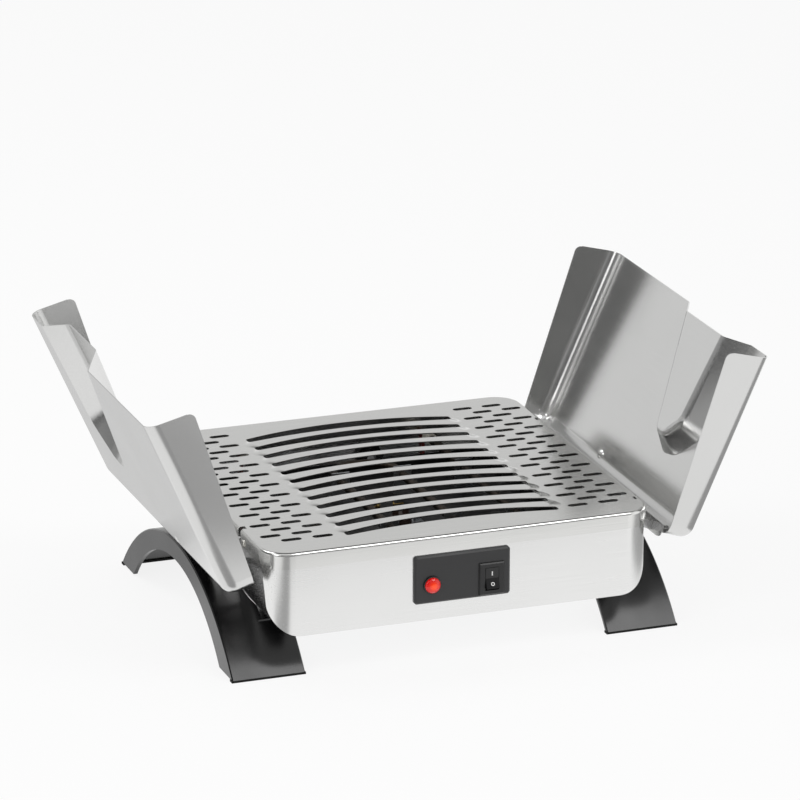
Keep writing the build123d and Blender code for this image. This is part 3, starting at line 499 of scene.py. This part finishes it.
# %% Lit acrylic
LAMP_X, LAMP_Z, LAMP_R = -25.0 * MM, 61.4 * MM, 6.0 * MM
GLOW_REACH = LAMP_R * 0.8
ACRYLIC_IOR = 1.49


def lit_acrylic():
    material, tree = new_material("lit_red_acrylic")
    axes = axes_of(tree, "Object")
    beside = work_out(tree, "SUBTRACT", axes["X"], LAMP_X)
    over = work_out(tree, "SUBTRACT", axes["Z"], LAMP_Z)
    squares = work_out(tree, "MULTIPLY_ADD", over, over, work_out(tree, "MULTIPLY", beside, beside))
    warm = ramp(tree, work_out(tree, "SQRT", squares), 0.0, GLOW_REACH, 1.0, 0.0)
    shade = blend(tree, warm, ("#ff4a14", "#c80d08"))
    acrylic = add(tree, "ShaderNodeBsdfPrincipled", {
        "Base Color": shade, "Roughness": 0.08, "IOR": ACRYLIC_IOR,
        "Emission Color": shade, "Emission Strength": 0.35, "Coat Weight": 0.3})
    close_material(tree, acrylic)
    return material


lamp_red = lit_acrylic()
print("lamp glows to", round(GLOW_REACH / MM, 1), "mm from its axis")

# %% [markdown]
# ## Dress the solid parts
#
# Each CAD part keeps its own mesh and only gets a new material. A table from finish
# to parts says it all in one place, and shows at once if a part was forgotten.

# %% Assign the finishes
DRESS = {
    lid_steel: ["lid"],
    pan_steel: ["housing_pan"],
    wing_steel: ["wing_right", "wing_left"],
    arm_steel: ["wing_right_arms", "wing_left_arms"],
    nickel: ["wing_right_rivets", "wing_left_rivets", "hinge_rivets", "hinge_pins",
             "bottom_cover_screws", "foot_screws", "tray_screws", "terminal_screws"],
    zinc: ["bottom_cover", "tray_posts", "heater_brackets", "thermostat_clamp", "fuse_clip",
           "lamp_nut", "hinge_brackets"],
    brass: ["heater_pins", "thermal_fuse", "earth_stud", "earth_nut", "switch_terminals"],
    # painted shade: the reflector tray is near black so that the inside under the lid reads as shade
    shade_black_tray: ["reflector_tray"],
    heat_oxide: ["heater_element"],
    foot_plastic: ["foot_left", "foot_right", "cable_gland", "gland_nut", "lamp_body"],
    panel_plastic: ["control_panel"],
    switch_plastic: ["switch_body", "switch_rocker"],
    pad_rubber: ["foot_pads"],
    wire_rubber: ["switch_wires", "heater_wires", "lamp_wires"],
    block_plastic: ["terminal_block"],
    ceramic: ["heater_bushes"],
    bakelite: ["thermostat"],
    lamp_red: ["lamp_lens"],
}
for material, names in DRESS.items():
    for name in names:
        part = nodes[name]
        part.data.materials.clear()
        part.data.materials.append(material)
dressed = {name for names in DRESS.values() for name in names}
print("parts without a finish:", sorted(set(nodes) - dressed))


# %% [markdown]
# ## A helper that finishes a new piece
#
# Every new piece is built as a bmesh, then turned into an object that stands at the
# origin with its place in its mesh, as the CAD parts do. The new pieces here are all
# small and crisp, so their faces stay flat-shaded.

# %% From bmesh to a piece
def make_piece(name, bm, material, body):
    bmesh.ops.recalc_face_normals(bm, faces=bm.faces)
    mesh = bpy.data.meshes.new(name)
    bm.to_mesh(mesh)
    bm.free()
    mesh.materials.append(material)
    piece = bpy.data.objects.new(name, mesh)
    bpy.context.scene.collection.objects.link(piece)
    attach(piece, body)
    print(name, "has", len(mesh.polygons), "faces")
    return piece


# %% [markdown]
# ## The faceted lamp lens
#
# The real lens is a dome pressed with small facets, which is why it sparkles. A plain
# ball would look like a bead. A profile is spun about the lamp's axis in a few
# steps and left flat-shaded, so each step is a facet.

# %% Spin the lens
LENS_FACE_Y = -148.6 * MM
LENS_DEPTH = 3.6 * MM
LENS_SEAT = 0.4 * MM
LENS_FACETS = 14
LENS_ROUND = 0.07 * MM
DOME = [(1.0, 0.0), (0.985, 0.22), (0.90, 0.46), (0.76, 0.66), (0.56, 0.83), (0.32, 0.95), (0.0, 1.0)]


def make_lens():
    bm = bmesh.new()
    points = [bm.verts.new((LAMP_X + r * LAMP_R, LENS_FACE_Y - d * LENS_DEPTH, LAMP_Z)) for r, d in DOME]
    points.insert(0, bm.verts.new((LAMP_X + LAMP_R, LENS_FACE_Y + LENS_SEAT, LAMP_Z)))
    edges = [bm.edges.new(pair) for pair in zip(points, points[1:])]
    bmesh.ops.spin(bm, geom=points + edges, cent=(LAMP_X, 0, LAMP_Z), axis=(0, 1, 0),
                   angle=2 * pi, steps=LENS_FACETS, use_merge=True)
    bmesh.ops.remove_doubles(bm, verts=bm.verts, dist=1e-6)
    rim = [e for e in bm.edges if e.is_boundary]
    bmesh.ops.holes_fill(bm, edges=rim)
    bmesh.ops.recalc_face_normals(bm, faces=bm.faces)
    bmesh.ops.bevel(bm, geom=bm.edges, affect="EDGES", offset=LENS_ROUND, segments=1,
                    profile=0.5, material=-1)
    return make_piece("lamp_lens_faceted", bm, lamp_red, "base")


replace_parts(make_lens(), "lamp_lens")

# %% [markdown]
# ## The marks on the switch
#
# A rocker switch carries a stroke for on and a ring for off, printed in white. They
# are thin pieces that lie on the rocker's two faces and ride with it when it tips. Each
# face is known by two points on it, in millimetres back and up from the rocker's axis.

# %% Stroke and ring
ROCKER_AXIS = Vector((21.0, -145.2, 61.0)) * MM
UPPER_FACE = ((-4.05, 0.64), (-4.35, 8.69))
LOWER_FACE = ((-4.05, 0.64), (-6.82, -6.92))
MARK_THICK = 0.08 * MM
STROKE_WIDE, STROKE_TALL, STROKE_ROUND = 0.85 * MM, 3.2 * MM, 0.02 * MM
RING_OUTER, RING_INNER, RING_STEPS = 1.45 * MM, 0.8 * MM, 28


def rocker_spot(face, share):
    """Centre and tilt of a mark this share of the way along a face of the rocker."""
    (y0, z0), (y1, z1) = face
    offset = Vector((0, y0 + (y1 - y0) * share, z0 + (z1 - z0) * share)) * MM
    lean = atan2(y1 - y0, abs(z1 - z0)) * (1 if z1 > z0 else -1)
    return Matrix.Translation(ROCKER_AXIS + offset) @ Matrix.Rotation(-lean, 4, "X")


def make_stroke():
    bm = bmesh.new()
    bmesh.ops.create_cube(bm, size=1.0)
    bmesh.ops.scale(bm, verts=bm.verts, vec=(STROKE_WIDE, MARK_THICK, STROKE_TALL))
    bmesh.ops.bevel(bm, geom=bm.edges, affect="EDGES", offset=STROKE_ROUND, segments=1,
                    profile=0.5, material=-1)
    bmesh.ops.transform(bm, matrix=rocker_spot(UPPER_FACE, 0.45), verts=bm.verts)
    make_piece("switch_stroke", bm, mark_white, "rocker")


def make_ring():
    bm = bmesh.new()
    half = MARK_THICK / 2
    corners = [(RING_INNER, -half), (RING_OUTER, -half), (RING_OUTER, half), (RING_INNER, half)]
    points = [bm.verts.new((x, y, 0)) for x, y in corners]
    edges = [bm.edges.new((points[i], points[(i + 1) % 4])) for i in range(4)]
    bmesh.ops.spin(bm, geom=points + edges, cent=(0, 0, 0), axis=(0, 1, 0),
                   angle=2 * pi, steps=RING_STEPS, use_merge=True)
    bmesh.ops.remove_doubles(bm, verts=bm.verts, dist=1e-7)
    bmesh.ops.transform(bm, matrix=rocker_spot(LOWER_FACE, 0.55), verts=bm.verts)
    make_piece("switch_ring", bm, mark_white, "rocker")


make_stroke()
make_ring()
